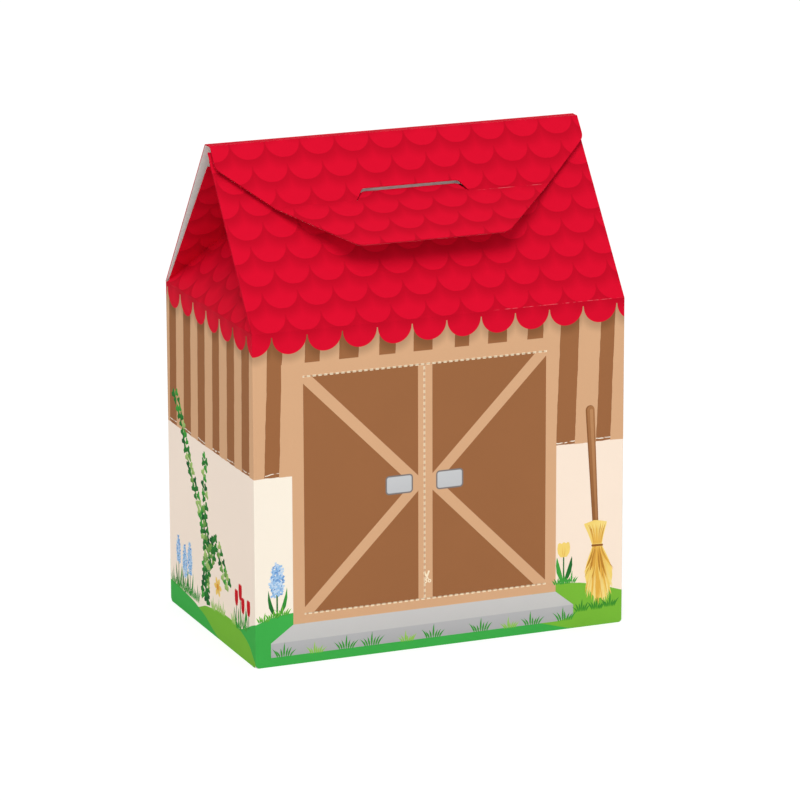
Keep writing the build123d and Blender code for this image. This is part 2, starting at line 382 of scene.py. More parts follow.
class Finish(NodeMaker):
    """One material and the nodes that paint it."""

    def __init__(self, name, constants):
        self.material = bpy.data.materials.new(name)
        self.material.use_nodes = True
        super().__init__(self.material.node_tree)
        self.tree.nodes.clear()
        self.surface = self.tree.nodes.new("ShaderNodeBsdfPrincipled")
        output = self.tree.nodes.new("ShaderNodeOutputMaterial")
        self.tree.links.new(self.surface.outputs[0], output.inputs[0])
        for socket, value in constants.items():
            self.show(socket, value)
        self.place = self.dimmed(self.node("TexCoord", output="Object"), 1 / MM)

    def show(self, socket, value):
        """Feeds one socket of the surface."""
        self.feed(self.surface.inputs[socket], value)

    def bump(self, strength, step, height):
        """Roughens the surface by a height whose full range stands for a step in m."""
        inputs = {"Strength": strength, "Distance": step, "Height": height}
        self.show("Normal", self.node("Bump", {}, inputs))

    def measured(self, start, way):
        """How far a point lies from start along a way, in millimetres."""
        vectors = {0: self.place, 1: way}
        product = {"operation": "DOT_PRODUCT"}
        return self.node("VectorMath", product, vectors, "Value") - start.dot(way)

    def on(self, panel):
        """Across, up and depth behind the printed side of a panel."""
        return (
            self.measured(panel.start, panel.across),
            self.measured(panel.start, panel.up),
            self.measured(panel.start, -panel.out),
        )

    def mottle(self, size, detail=2.0, stretch=(1, 1, 1)):
        """Soft noise with features of a size in millimetres, from 0 to 1."""
        ways = {0: self.place, 1: tuple(s / size for s in stretch)}
        moved = self.node("VectorMath", {"operation": "MULTIPLY"}, ways)
        return self.node("TexNoise", {}, {"Vector": moved, "Scale": 1.0, "Detail": detail})

    def ramp(self, value, low, high, stops, steps):
        """A line through stops, each with its place from low to high and its height."""
        placed = [((at - low) / (high - low), height) for at, height in stops]
        settings = {"stops": placed, "steps": steps}
        return self.node("ValToRGB", settings, {0: (value - low) / (high - low)})

    def bands(self, value, half, edges):
        """1 between each pair of edges and 0 elsewhere, from -half to half."""
        stops = [(-half, 0.0)]
        for left, right in edges:
            stops += [(left, 1.0), (right, 0.0)]
        return self.ramp(value, -half, half, stops, "CONSTANT")

    def outline(self, value, points, steps="CARDINAL"):
        """The height of a line through points, as a reading of value."""
        stops = [(at, height / LINE_TOP) for at, height in points]
        return self.ramp(value, points[0][0], points[-1][0], stops, steps) * LINE_TOP


COAT_IOR = 1.48
FLECK = (0.66, 0.05)  # how much noise makes a fleck in raw board, and how softly
CORE_DEPTH = (0.05, 0.02)  # the print ends this far behind its face, and how softly
RAW_DEPTH = (BOARD - 0.01, 0.006)  # the raw side begins here, and how softly


def coated(name):
    """A finish with the thin gloss of the printed coat."""
    gloss = bpy.context.scene.barn_board.gloss
    return Finish(name, {"Specular IOR Level": gloss, "IOR": COAT_IOR})


def board_finish(name, panel, printing, edge=None, folded_ends=False):
    """Coated boxboard: print on its outer side, its core at cuts, raw inside.

    Where the ends of a panel are folded, their round corners stay printed."""
    board = bpy.context.scene.barn_board
    f = coated(name)
    u, v, depth = f.on(panel)
    fibre = f.mottle(0.35, 4.0)
    soft_fleck = f.mottle(2.2, 5.0)
    printed = f.dimmed(printing(f, u, v), 0.985 + 0.03 * f.mottle(26.0, 2.0))
    core = f.dimmed(edge or board.core, 0.9 + 0.2 * fibre)
    fleck = f.mottle(1.1, 6.0).over(*FLECK)
    inner = f.dimmed(board.inner, 0.9 + 0.16 * soft_fleck + 0.06 * fibre)
    inner = f.laid(inner, paint(176, 164, 150), fleck * 0.3)
    behind = depth.over(*CORE_DEPTH)
    raw = depth.over(*RAW_DEPTH)
    if folded_ends:
        flat = abs(u).under(HALF_WIDTH - 0.6, 0.02)
        behind, raw = behind * flat, raw * flat
    shown = f.laid(f.laid(printed, core, behind), inner, raw)
    f.show("Base Color", shown)
    f.show("Roughness", 0.52 + 0.08 * soft_fleck + 0.25 * behind)
    f.bump(0.35, 0.00002, fibre * (0.25 + 0.75 * raw) + 0.5 * soft_fleck)
    return f.material


def mesh_object(name, shape):
    """Turns a built shape into an object of the scene."""
    data = bpy.data.meshes.new(name)
    shape.to_mesh(data)
    shape.free()
    made = bpy.data.objects.new(name, data)
    bpy.context.scene.collection.objects.link(made)
    return made


def dress(node, material):
    for slot in nodes[node].material_slots:
        slot.material = material


# -------------------------------------------------------------- printed roof


FIRST_TIPS = 12.0  # height of the lowest row's tips on both slopes
SCALE_CENTRE = -6.1  # middle of one shingle, across the front and the back
SIDE_SCALE_WIDTH = 18.1  # shingles on the gable ends and over the side walls
SLOT_HALF, SLOT_BARE = 31.0, (66.0, 73.5)  # the bare board beside the lock slot


def shingle_shade(u, v, first, centre, width=None, rise=None):
    """0 in the open middle of a shingle and 1 in the painted shade of the row above.

    Each row's round lower ends lie over the row below; first is the height of one
    row's tips and centre the middle of one of its shingles."""
    roof = bpy.context.scene.barn_roof
    width = width or roof.scale_width / MM
    rise = rise or roof.row_rise / MM
    radius, halo = roof.scale_radius / MM, roof.halo / MM
    row = ((v - first) / rise).floor()
    height = v - first - row * rise
    shift = (row % 2.0) * (width / 2)
    own = (u - centre - shift).wrap(width / 2)
    next_up = (u - centre - shift - width / 2).wrap(width / 2)
    own_gap = reach(own, height - radius) - radius
    above_gap = reach(next_up, height - rise - radius) - radius
    covered = own_gap.under(0, 0.7).most(height.over(radius, 0.1))
    shade = 1 - (own_gap + (above_gap - own_gap) * covered).ease(-0.4, halo)
    seam = abs(own).over(width / 2 - 1.0, 1.8) * height.between(6.0, 11.0, 4.0)
    return shade.most(seam * 0.62)


def roof_colour(f, shade):
    roof = bpy.context.scene.barn_roof
    bright = f.dimmed(roof.bright, 0.97 + 0.06 * f.mottle(14.0, 3.0))
    return f.laid(bright, roof.shade, shade)


def rubbed_fold(f, u, v, under, tone, strength, fold, half, along):
    """Rubs a crease pale along part of its length."""
    rub = f.mottle(3.0, 4.0).over(0.5, 0.12)
    worn = abs(v - fold).under(half, 0.12) * u.between(*along, 8.0) * rub
    return f.laid(under, tone, worn * strength)


def back_roof_print(f, u, v):
    return roof_colour(f, shingle_shade(u, v, FIRST_TIPS, SCALE_CENTRE))


def front_roof_print(f, u, v):
    """Shingles with a bare patch beside the lock slot and a rubbed eave."""
    beside_slot = abs(u).under(SLOT_HALF, 0.3) * v.between(*SLOT_BARE, 0.3)
    bare = f.laid(back_roof_print(f, u, v), paint(250, 240, 238), beside_slot)
    rub = {"strength": 0.55, "fold": 0.25, "half": 0.12, "along": (30.0, 92.0)}
    return rubbed_fold(f, u, v, bare, paint(240, 120, 130), **rub)


def flap_print(f, u, v):
    return roof_colour(f, shingle_shade(u, v, first=-8.6, centre=-5.8, rise=12.4))


def lip_print(f, u, v):
    red = roof_colour(f, shingle_shade(u, v - FLAP_DROP, first=-8.9, centre=9.1))
    rub = {"strength": 0.5, "fold": -0.2, "half": 0.14, "along": (36.0, 72.0)}
    return rubbed_fold(f, u, v, red, paint(240, 130, 138), **rub)


def gable_print(f, u, v):
    shade = shingle_shade(u, v, first=0.4, centre=15.35, width=SIDE_SCALE_WIDTH)
    return roof_colour(f, shade)


class BARN_OT_roof(bpy.types.Operator):
    """Print the rounded red shingles on the roof, the flap, its lip and the gable ends"""

    bl_idname = "barn.roof"
    bl_label = "Roof print"

    def execute(self, context):
        edge = context.scene.barn_roof.edge
        for node, name, panel, printing in (
            ("front_roof_panel", "front_roof", FRONT_ROOF, front_roof_print),
            ("back_roof_panel", "back_roof", BACK_ROOF, back_roof_print),
            ("ridge_spine", "spine", SPINE, flap_print),
            ("closing_flap", "flap", FLAP, flap_print),
            ("lock_lip", "lip", LIP, lip_print),
        ):
            folded = panel is FRONT_ROOF
            dress(node, board_finish(name + "_shingles", panel, printing, edge, folded))
        gable = {"centre": GABLE, "front": FRONT_WING, "back": BACK_WING}
        for side in ("left", "right"):
            for part, panel in gable.items():
                node = f"{side}_gable_{part}"
                turned = panel if side == "left" else panel.mirrored()
                dress(node, board_finish(node + "_shingles", turned, gable_print, edge))
        return {"FINISHED"}


# -------------------------------------------------------------- printed walls


UPRIGHT_LEVEL = 130.0  # boards lean to one side above this height, to the other below


def scallop_edge(f, u, v, under, centre=SCALE_CENTRE, width=None):
    """The roof's lowest row of scallops over the top of a wall, with its soft shade."""
    roof, siding = bpy.context.scene.barn_roof, bpy.context.scene.barn_siding
    radius = roof.scale_radius / MM - 0.1
    width = width or roof.scale_width / MM
    tip = siding.scallop_tip / MM
    own = (u - centre).wrap(width / 2)
    gap = reach(own, v - tip - radius) - radius
    cast = reach(own, v - tip - radius + 1.4) - radius
    next_up = (u - centre - width / 2).wrap(width / 2)
    halo = reach(next_up, v - EAVE - radius) - radius
    red = roof_colour(f, 1 - halo.ease(-0.4, roof.halo / MM))
    shaded = f.dimmed(under, 0.72 + 0.28 * cast.ease(-1.0, 4.6))
    above = v.over(tip + radius, 0.1)
    return f.laid(shaded, red, gap.under(0, 0.2).most(above))


def boards(f, u, v, edges, half, lean):
    """Siding: light boards with dark ones between, uneven along their edges."""
    siding = bpy.context.scene.barn_siding
    wander = f.mottle(9.0, 3.0) - 0.5
    at = u - lean * (v - UPRIGHT_LEVEL) + wander
    dark = f.bands(at, half, edges)
    light = f.dimmed(siding.light, 0.975 + 0.05 * f.mottle(30.0, 3.0, (1, 1, 0.3)))
    brown = f.dimmed(siding.dark, 0.96 + 0.08 * f.mottle(22.0, 3.0, (1, 1, 0.35)))
    return f.laid(light, brown, dark), dark


def siding_wall(f, u, v, edges, half, lean, under):
    """Siding over a cream wall, with ragged board feet and dry brush marks."""
    foot = bpy.context.scene.barn_siding.foot / MM
    wood, dark = boards(f, u, v, edges, half, lean)
    rough_line = f.mottle(4.5, 4.0) - 0.5
    bottom = v - 0.9 * rough_line - 0.9 * dark * (f.mottle(11.0, 1.0) - 0.3)
    faced = f.laid(under, wood, bottom.over(foot, 0.18))
    streak = abs(v - foot - 1.5 - 2.6 * (f.mottle(7.0, 2.0) - 0.5)).under(0.22, 0.2)
    streak = streak * dark * f.mottle(2.6, 3.0).over(0.46, 0.1)
    return f.laid(faced, bpy.context.scene.barn_siding.plaster, streak)


def plaster(f, tone):
    return f.dimmed(tone, 0.985 + 0.02 * f.mottle(40.0, 2.0))


def front_plaster(f, u):
    """The front's cream wall, which grows warmer from one end to the other."""
    siding = bpy.context.scene.barn_siding
    near, far = siding.plaster, siding.plaster_far
    return plaster(f, f.laid(near, far, u.ease(-HALF_WIDTH * 0.9, HALF_WIDTH * 0.5)))


def side_plaster(f):
    return plaster(f, bpy.context.scene.barn_siding.side_plaster)


def planed(f):
    """The light wood of the beams, posts and braces."""
    light = bpy.context.scene.barn_siding.light
    return f.dimmed(light, 0.975 + 0.05 * f.mottle(30.0, 2.0))


def greens():
    """The greens of the nearer and the farther hills."""
    garden = bpy.context.scene.barn_garden
    return garden.near_green, garden.far_green


def hills(f, u, v, under, rows):
    """Hills laid over a wall in turn, each of one green below a smooth line."""
    for tint, points in rows:
        top = f.outline(u, points)
        green = f.dimmed(tint, 0.94 + 0.1 * f.mottle(16.0, 3.0) + 0.002 * v)
        inside = u.between(points[0][0], points[-1][0], 0.1)
        under = f.laid(under, green, v.under(top, 0.2) * inside)
    return under


BOARD_PAIR = 37.9  # one wide and one narrow brown board with the tan beside them
WIDE_BOARD, NARROW_BOARD = 9.8, 7.8
WIDE_TO_NARROW = 20.5  # between the left edges of a wide board and the next narrow one
FIRST_WIDE = -90.9
CORNER_TAN = 6.1  # tan that is left beside each corner of the front wall
FRONT_LEAN, SIDE_LEAN, BACK_LEAN = 0.035, 0.022, 0.02  # sideways for each mm of rise


def paired_boards():
    """Edges of the front wall's brown boards, which are wide and narrow by turns."""
    limit = HALF_WIDTH - CORNER_TAN
    boards = []
    for k in range(5):
        wide = FIRST_WIDE + BOARD_PAIR * k
        narrow = wide + WIDE_TO_NARROW
        boards += [(wide, wide + WIDE_BOARD), (narrow, narrow + NARROW_BOARD)]
    return [(max(left, -limit), min(right, limit)) for left, right in boards]


def even_boards(first, pitch, width, count):
    """Edges of brown boards of one width, at one pitch."""
    return [(first + pitch * k, first + pitch * k + width) for k in range(count)]


def front_siding(f, u, v):
    """The front wall behind its beams and doorstep: siding, plaster and hills."""
    near, far = greens()
    wall = front_plaster(f, u)
    wall = siding_wall(f, u, v, paired_boards(), HALF_WIDTH + 1, FRONT_LEAN, wall)
    rows = (
        (near, [(-97, 21.0), (-90, 23.2), (-82, 24.9), (-70, 25.6)]),
        (far, [(47, 24.2), (66, 23.3), (76, 21.8), (86, 19.4), (97, 15.8)]),
    )
    wall = hills(f, u, v, wall, rows)
    verge = [(-97, 14), (40, 14), (48, 5.4), (54, 3.9), (60, 2.1), (66, 0.5), (70, 0), (97, 0)]
    low = f.outline(u, verge, steps="LINEAR")
    return f.laid(wall, f.dimmed(near, 0.96 + 0.08 * f.mottle(18.0, 2.0)), v.under(low, 0.2))


STEP_TOP, STEP_EDGE, STEP_FOOT = 19.6, 11.6, 4.5  # heights of the painted doorstep
STEP_ENDS = (-87.3, 69.0)
STEP_SLANTS = (1.42, 1.23)  # how far each end of its upper face runs out for its fall
POST_LEFT, POST_RIGHT = -75.9, 59.6  # outer sides of the door posts
WIDER_POST = 5.0  # the left post is this much wider where it meets the siding


def step(f, u, v, under):
    """The painted doorstep: its upper face and its front face."""
    doors = bpy.context.scene.barn_doors
    left = POST_LEFT - (STEP_TOP - v) * STEP_SLANTS[0]
    right = POST_RIGHT - 0.1 + (STEP_TOP - v) * STEP_SLANTS[1]
    inside = u.over(left.most(STEP_ENDS[0])) * u.under(right.least(STEP_ENDS[1]))
    rise = STEP_TOP - STEP_EDGE
    top = f.dimmed(doors.step_top, 0.96 + 0.06 * (v - STEP_EDGE) / rise)
    face = f.dimmed(doors.step_front, 0.86 + 0.2 * v / STEP_EDGE)
    both = f.laid(face, top, v.over(STEP_EDGE + 0.004 * (u + 10), 0.25))
    foot = STEP_FOOT + 1.6 * u.ease(60.0, STEP_ENDS[1])
    return f.laid(under, both, inside * v.under(STEP_TOP) * v.over(foot))


def rounded_plate(u, v, x, z, half_u, half_v, corner):
    """Distance from a plate with rounded corners, below 0 inside it."""
    du = abs(u - x) - (half_u - corner)
    dv = abs(v - z) - (half_v - corner)
    outside = reach(du.most(0.0), dv.most(0.0))
    return outside + du.most(dv).least(0.0) - corner


DOOR_LEFT, DOOR_RIGHT, MEETING = -69.8, 54.0, -8.8
DOOR_FOOT, DOOR_HEAD = 24.25, 139.7
DOOR_MIDDLE = 81.9
LEFT_CROSSING, RIGHT_CROSSING = -12.0, -5.0  # where each door's braces would cross
LEFT_SLOPE, RIGHT_SLOPE = 1.003, 1.008  # how far the braces rise for each mm across
STILE = (-12.0, -4.7)
LATCHES, LATCH_LEVEL = (-21.7, 4.15), 82.25
LATCH_CORNER = 1.7


def door_face(f, u, v):
    """Brown doors with their centre stile, slanting braces and latches."""
    siding, doors = bpy.context.scene.barn_siding, bpy.context.scene.barn_doors
    brown = f.dimmed(siding.dark, 0.955 + 0.07 * f.mottle(34.0, 3.0))
    half = doors.brace / MM / math.sqrt(2)
    raised = abs(v - DOOR_MIDDLE)
    left_line = raised + (u - LEFT_CROSSING) * LEFT_SLOPE
    right_line = raised - (u - RIGHT_CROSSING) * RIGHT_SLOPE
    on_left = abs(left_line).under(half) * u.under(MEETING)
    on_right = abs(right_line).under(half) * u.over(MEETING)
    face = f.laid(brown, planed(f), on_left.most(on_right).most(u.between(*STILE)))
    plate = (doors.latch_width / MM / 2, doors.latch_height / MM / 2, LATCH_CORNER)
    for x in LATCHES:
        gap = rounded_plate(u, v, x, LATCH_LEVEL, *plate)
        metal = f.dimmed(doors.latch, 0.97 + 0.03 * (v - 78.0) / 4.0)
        face = f.laid(face, doors.latch_line, gap.under(0.15, 0.3))
        face = f.laid(face, metal, gap.under(-0.55, 0.25))
    return face


DASH_HALF = (0.42, 0.2)  # half the width of a dash, and how softly it ends


def cut_dashes(f, u, v, under):
    """Printed dashes on both sides of the doors' cut lines."""
    doors = bpy.context.scene.barn_doors
    pitch = doors.dash_pitch / MM
    along_u = abs((u + 1.0).wrap(pitch / 2)).under(0.85, 0.3)
    along_v = abs((v + 0.4).wrap(pitch / 2)).under(0.8, 0.3)
    head = abs(v - DOOR_HEAD).under(*DASH_HALF)
    foot = abs(v - DOOR_FOOT).under(*DASH_HALF)
    inside_u = u.between(DOOR_LEFT - 0.4, DOOR_RIGHT + 0.4)
    inside_v = v.between(DOOR_FOOT, DOOR_HEAD)
    middle = abs(u - MEETING).under(*DASH_HALF) * inside_v * along_v
    mark = head.most(foot) * inside_u * along_u
    return f.laid(under, doors.dash, mark.most(middle))


def scissors(f, u, v, under):
    """A small cutting mark beside the centre line: two finger rings and two blades."""
    doors = bpy.context.scene.barn_doors
    ink = None
    for ring, tip in (((-8.3, 32.9), (-6.5, 38.2)), ((-6.3, 32.9), (-8.9, 37.2))):
        way = (Vector(tip) - Vector(ring)).normalized()
        hoop = abs(reach(u - ring[0], v - ring[1]) - 0.62).under(0.26, 0.2)
        along = (u - ring[0]) * way.x + (v - ring[1]) * way.y
        aside = abs((u - ring[0]) * way.y - (v - ring[1]) * way.x)
        blade = aside.under(0.12 + 0.1 * along.least(3.4), 0.2) * along.between(0.7, 5.4)
        both = hoop.most(blade)
        ink = both if ink is None else ink.most(both)
    return f.laid(under, doors.dash, ink)


def front_print(f, u, v):
    """The front wall: siding, hills and doorstep under the posts and beam of the doors."""
    wall = step(f, u, v, front_siding(f, u, v))
    beam_top = bpy.context.scene.barn_doors.beam_top / MM
    foot = bpy.context.scene.barn_siding.foot / MM
    post = u.over(POST_LEFT - WIDER_POST * v.over(foot)) * u.under(POST_RIGHT)
    wall = f.laid(wall, planed(f), post * v.between(STEP_TOP, beam_top, 0.2))
    return scallop_edge(f, u, v, cut_dashes(f, u, v, wall))


def door_print(f, u, v):
    return scissors(f, u, v, cut_dashes(f, u, v, door_face(f, u, v)))


def side_print(f, u, v):
    near, far = greens()
    edges = even_boards(first=-55.7, pitch=20.0, width=9.8, count=6)
    wall = siding_wall(f, u, v, edges, HALF_DEPTH + 1, SIDE_LEAN, side_plaster(f))
    middle = [(-26, 6.0), (-12, 10.6), (0, 13.0), (20, 14.8), (38, 13.4), (52, 8.2), (62, 0.0)]
    rows = (
        (near, [(20, 8.0), (36, 12.6), (48, 17.0), (62, 22.4)]),
        (far, middle),
        (near, [(-62, 11.4), (-44, 10.6), (-22, 8.6), (-6, 5.0), (10, 0.0)]),
    )
    wall = hills(f, u, v, wall, rows)
    return scallop_edge(f, u, v, wall, centre=6.3, width=SIDE_SCALE_WIDTH)


def right_print(f, u, v):
    """The left wall's print, mirrored."""
    return side_print(f, -1 * u, v)


def back_print(f, u, v):
    near, far = greens()
    edges = even_boards(first=-95.5, pitch=20.2, width=9.0, count=10)
    wall = siding_wall(f, u, v, edges, HALF_WIDTH + 1, BACK_LEAN, side_plaster(f))
    rows = (
        (near, [(-97, 16.0), (-60, 21.5), (-20, 17.0), (20, 9.0), (60, 6.0)]),
        (far, [(-40, 5.0), (0, 12.0), (40, 17.5), (70, 20.5), (97, 21.5)]),
        (near, [(-97, 9.5), (-50, 8.0), (0, 4.5), (40, 6.0), (97, 8.0)]),
    )
    return scallop_edge(f, u, v, hills(f, u, v, wall, rows))


class BARN_OT_walls(bpy.types.Operator):
    """Print siding, plaster, hills and roof scallops on the four walls"""

    bl_idname = "barn.walls"
    bl_label = "Wall print"

    def execute(self, context):
        cut = context.scene.barn_doors.cut
        for node, panel, printing, edge, folded in (
            ("front_wall", FRONT, front_print, cut, True),
            ("back_wall", BACK, back_print, None, True),
            ("left_wall", LEFT, side_print, None, False),
            ("right_wall", RIGHT, right_print, None, False),
        ):
            dress(node, board_finish(node + "_print", panel, printing, edge, folded))
        return {"FINISHED"}


class BARN_OT_doors(bpy.types.Operator):
    """Print the braced double doors on both door leaves"""

    bl_idname = "barn.doors"
    bl_label = "Door print"

    def execute(self, context):
        cut = context.scene.barn_doors.cut
        for node in ("left_door", "right_door"):
            dress(node, board_finish(node + "_print", FRONT, door_print, cut))
        return {"FINISHED"}


def plain_finish(name, tone):
    """Unprinted boxboard with a fine fibre."""
    f = Finish(name, {"Specular IOR Level": 0.28, "IOR": COAT_IOR})
    fleck = f.mottle(1.1, 6.0).over(*FLECK)
    fibre = f.mottle(0.4, 4.0)
    shown = f.dimmed(tone, 0.94 + 0.08 * f.mottle(2.4, 5.0))
    f.show("Base Color", f.laid(shown, paint(168, 156, 142), fleck * 0.25))
    f.show("Roughness", 0.66 + 0.16 * fibre)
    f.bump(0.4, 0.00003, fibre)
    return f.material


class BARN_OT_floor_flaps(bpy.types.Operator):
    """Finish the folded floor flaps, their glued corners and the seam flap"""

    bl_idname = "barn.floor_flaps"
    bl_label = "Floor and seam flaps"

    def execute(self, context):
        board = context.scene.barn_board
        white = plain_finish("coated_floor_board", board.outer)
        raw = plain_finish("raw_inner_board", board.inner)
        for side in ("front", "back"):
            dress(f"{side}_floor_flap", white)
        for side in ("left", "right"):
            dress(f"{side}_floor_flap", raw)
            dress(f"{side}_glue_corner", raw)
        dress("seam_glue_flap", raw)
        return {"FINISHED"}


# ------------------------------------------------------------- garden prints


class GardenPrint:
    """Thin printed shapes on one wall, collected into one mesh of closed shells.

    Shapes are placed in millimetres across and up the wall. Each is a low prism
    that stands a little higher than the ones it covers."""

    RISE = 0.0005

    def __init__(self, name, panel, half):
        self.name = name
        self.panel = panel
        self.half = half
        self.mesh = bmesh.new()
        self.tint = self.mesh.verts.layers.float_color.new("print_tint")
        self.film = bpy.context.scene.barn_garden.film / MM
        self.under = []

    def prism(self, sides):
        """A low prism of radius 1 round the origin, still to be shaped."""
        ends = {"cap_ends": True, "cap_tris": False, "depth": 1}
        made = bmesh.ops.create_cone(
            self.mesh, segments=sides, radius1=1, radius2=1, **ends
        )
        return made["verts"]

    def settle(self, shape, at, turn, base, tip):
        """Turns and places a finished shape, and colours it from base to tip."""
        far = max(v.co.x for v in shape) or 1
        for v in shape:
            share = min(max(v.co.x / far, 0), 1)
            mixed = [b + (t - b) * share for b, t in zip(base, tip)]
            v[self.tint] = (*mixed, 1)
        spin = Matrix.Rotation(turn, 3, "Z")
        bmesh.ops.rotate(self.mesh, verts=shape, cent=(0, 0, 0), matrix=spin)
        bmesh.ops.translate(self.mesh, verts=shape, vec=(at[0], at[1], 0))
        top = self.height_over(shape)
        for v in shape:
            v.co.z = top if v.co.z > 0 else -0.02

    def height_over(self, shape):
        """A height just over every earlier shape that a new one may touch."""
        across = [v.co.x for v in shape]
        up = [v.co.y for v in shape]
        left, right, low, high = min(across), max(across), min(up), max(up)
        top = self.film
        for other, other_top in self.under:
            apart = other[0] > right or other[1] < left or other[2] > high or other[3] < low
            if not apart:
                top = max(top, other_top)
        top += self.RISE
        self.under.append(((left, right, low, high), top))
        return top

    def leaf(self, at, turn, size, bend, base, tip=None, belly=0.45, blunt=1.0):
        """A leaf, blade or petal from its foot, bent sideways towards its tip.

        It is widest at the share belly of its length, and blunter below a blunt of 1."""
        length, width = size
        shape = self.prism(12)
        for v in shape:
            along = (v.co.x + 1) / 2
            full = math.sin(math.pi * along ** (math.log(0.5) / math.log(belly))) ** blunt
            side = 0 if abs(v.co.y) < 1e-4 else math.copysign(width / 2, v.co.y)
            v.co.x = along * length
            v.co.y = side * full + bend * along * along
        self.settle(shape, at, turn, base, tip or base)

    def star(self, at, turn, size, base, tip=None, points=5, waist=0.5):
        """A leaf or flower with pointed lobes."""
        shape = self.prism(points * 2)
        for v in shape:
            lobe = round(math.atan2(v.co.y, v.co.x) / math.pi * points) % 2
            v.co.xy *= size * (waist if lobe else 1)
        self.settle(shape, at, turn, base, tip or base)

    def bar(self, start, end, start_width, end_width, base, tip=None):
        """A tapered stroke with round ends."""
        way = Vector(end) - Vector(start)
        shape = self.prism(14)
        for v in shape:
            ahead = v.co.x > 1e-4
            v.co.xy *= (end_width if ahead else start_width) / 2
            if ahead:
                v.co.x += way.length
        self.settle(shape, start, math.atan2(way.y, way.x), base, tip or base)

    def patch(self, points, base, tip=None):
        """A filled outline, given anticlockwise from its first point on the right."""
        shape = self.prism(len(points))
        middle = sum((Vector(p) for p in points), Vector((0, 0))) / len(points)
        for z in (-0.5, 0.5):
            ring = [v for v in shape if abs(v.co.z - z) < 0.1]
            ring.sort(key=lambda v: math.atan2(v.co.y, v.co.x) % math.tau)
            for v, point in zip(ring, points):
                v.co.xy = Vector(point) - middle
        self.settle(shape, middle, 0, base, tip or base)

    def finish(self, body, slot):
        """Trims the prints to their wall, makes one object of them and paints it."""
        for way in (-1, 1):
            bmesh.ops.bisect_plane(
                self.mesh,
                geom=[*self.mesh.verts, *self.mesh.edges, *self.mesh.faces],
                dist=1e-6,
                plane_co=(way * self.half, 0, 0),
                plane_no=(way, 0, 0),
                clear_outer=True,
            )
            open_edges = [e for e in self.mesh.edges if e.is_boundary]
            if open_edges:
                bmesh.ops.holes_fill(self.mesh, edges=open_edges, sides=0)
        bmesh.ops.transform(self.mesh, matrix=self.panel.placing(), verts=self.mesh.verts)
        bmesh.ops.recalc_face_normals(self.mesh, faces=self.mesh.faces)
        made = mesh_object(self.name, self.mesh)
        f = coated(self.name + "_ink")
        tint = f.node("Attribute", {"attribute_name": "print_tint"}, output="Color")
        f.show("Base Color", f.dimmed(tint, 0.95 + 0.1 * f.mottle(2.6, 3.0)))
        f.show("Roughness", 0.52 + 0.08 * f.mottle(2.2, 5.0))
        made.data.materials.append(f.material)
        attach(made, body)


DARK_GREEN = paint(48, 128, 54)
DEEP_GREEN = paint(34, 100, 50)
MID_GREEN = paint(70, 164, 66)
GRASS_GREEN = paint(66, 154, 62)
PALE_GREEN = paint(166, 202, 116)
FRESH_GREEN = paint(128, 196, 62)
SKY_BLUE = paint(158, 198, 236)
MID_BLUE = paint(128, 172, 224)
DEEP_BLUE = paint(84, 120, 180)
ICE_BLUE = paint(196, 220, 244)
YELLOW = paint(248, 216, 118)
GOLD = paint(232, 178, 76)
STRAW_BROWN = paint(200, 144, 62)
BAND_BROWN = paint(150, 96, 48)
RED = paint(206, 26, 38)
DEEP_RED = paint(164, 18, 32)
UPRIGHT = math.pi / 2


def tuft(garden, scatter, x, z, width, height, base, tip, blades=7):
    """A tuft of thin grass blades that curve away from its middle."""
    tallest = blades // 2 + scatter.choice((0, 0, -1))
    for k in range(blades):
        share = (k + 0.5) / blades * 2 - 1
        tall = height * (1 if k == tallest else scatter.uniform(0.45, 0.72))
        aside = 0.4 if k == tallest else share * width * 0.24 + scatter.uniform(-0.3, 0.5)
        foot = (x + share * width * 0.3, z - 0.5)
        turn = UPRIGHT - 0.14 * share
        garden.leaf(foot, turn, (tall + 0.5, 0.96), -aside, base, tip, belly=0.4)


def hyacinth(garden, scatter, x, z, tall, head=0.42, wide=4.3):
    """A spike of small blue flowers over two slender leaves."""
    unit = wide / 4.3
    neck = (x, z + tall * (head + 0.1))
    garden.bar((x, z), neck, 0.9 * unit, 0.8 * unit, DARK_GREEN, DEEP_GREEN)
    for lean, long, bend, base, tip in (
        (0.72, 13.4, -6.0, DEEP_GREEN, DARK_GREEN),
        (-0.74, 14.2, 6.2, DARK_GREEN, MID_GREEN),
    ):
        size = (long * unit, 2.2 * unit)
        garden.leaf((x, z - 0.3), UPRIGHT + lean, size, bend * unit, base, tip, belly=0.5)
    first, last = z + tall * head, z + tall * 0.96
    rows = max(4, round((last - first) / (1.35 * unit)))
    for k in range(rows):
        share = k / (rows - 1)
        spread = unit * 3.4 * math.sin(math.pi * (0.24 + 0.68 * share)) ** 0.8
        count = max(1, round(spread * 2 / (1.8 * unit)))
        for n in range(count):
            side = (n + 0.5) / count * 2 - 1
            at = (
                x + side * spread + scatter.uniform(-0.4, 0.4) * unit,
                first + (last - first) * share + scatter.uniform(-0.6, 0.4) * unit,
            )
            tone = scatter.choice((SKY_BLUE, SKY_BLUE, ICE_BLUE, ICE_BLUE, MID_BLUE))
            turn = scatter.uniform(0, math.tau)
            garden.star(at, turn, scatter.uniform(1.5, 1.9) * unit, tone, tone, 5, 0.36)
            mark = scatter.choice((DEEP_BLUE, DEEP_BLUE, MID_BLUE))
            garden.leaf(at, turn + 0.6, (1.5 * unit, 0.6 * unit), 0.3 * unit, mark, MID_BLUE)


CUP = [
    (0.9, 0.3),
    (1.0, 0.62),
    (0.88, 0.94),
    (0.6, 1.0),
    (0.4, 0.92),
    (0.04, 1.02),
    (-0.36, 0.92),
    (-0.6, 1.0),
    (-0.88, 0.93),
    (-1.0, 0.6),
    (-0.88, 0.27),
    (-0.5, 0.03),
    (0.5, 0.03),
]


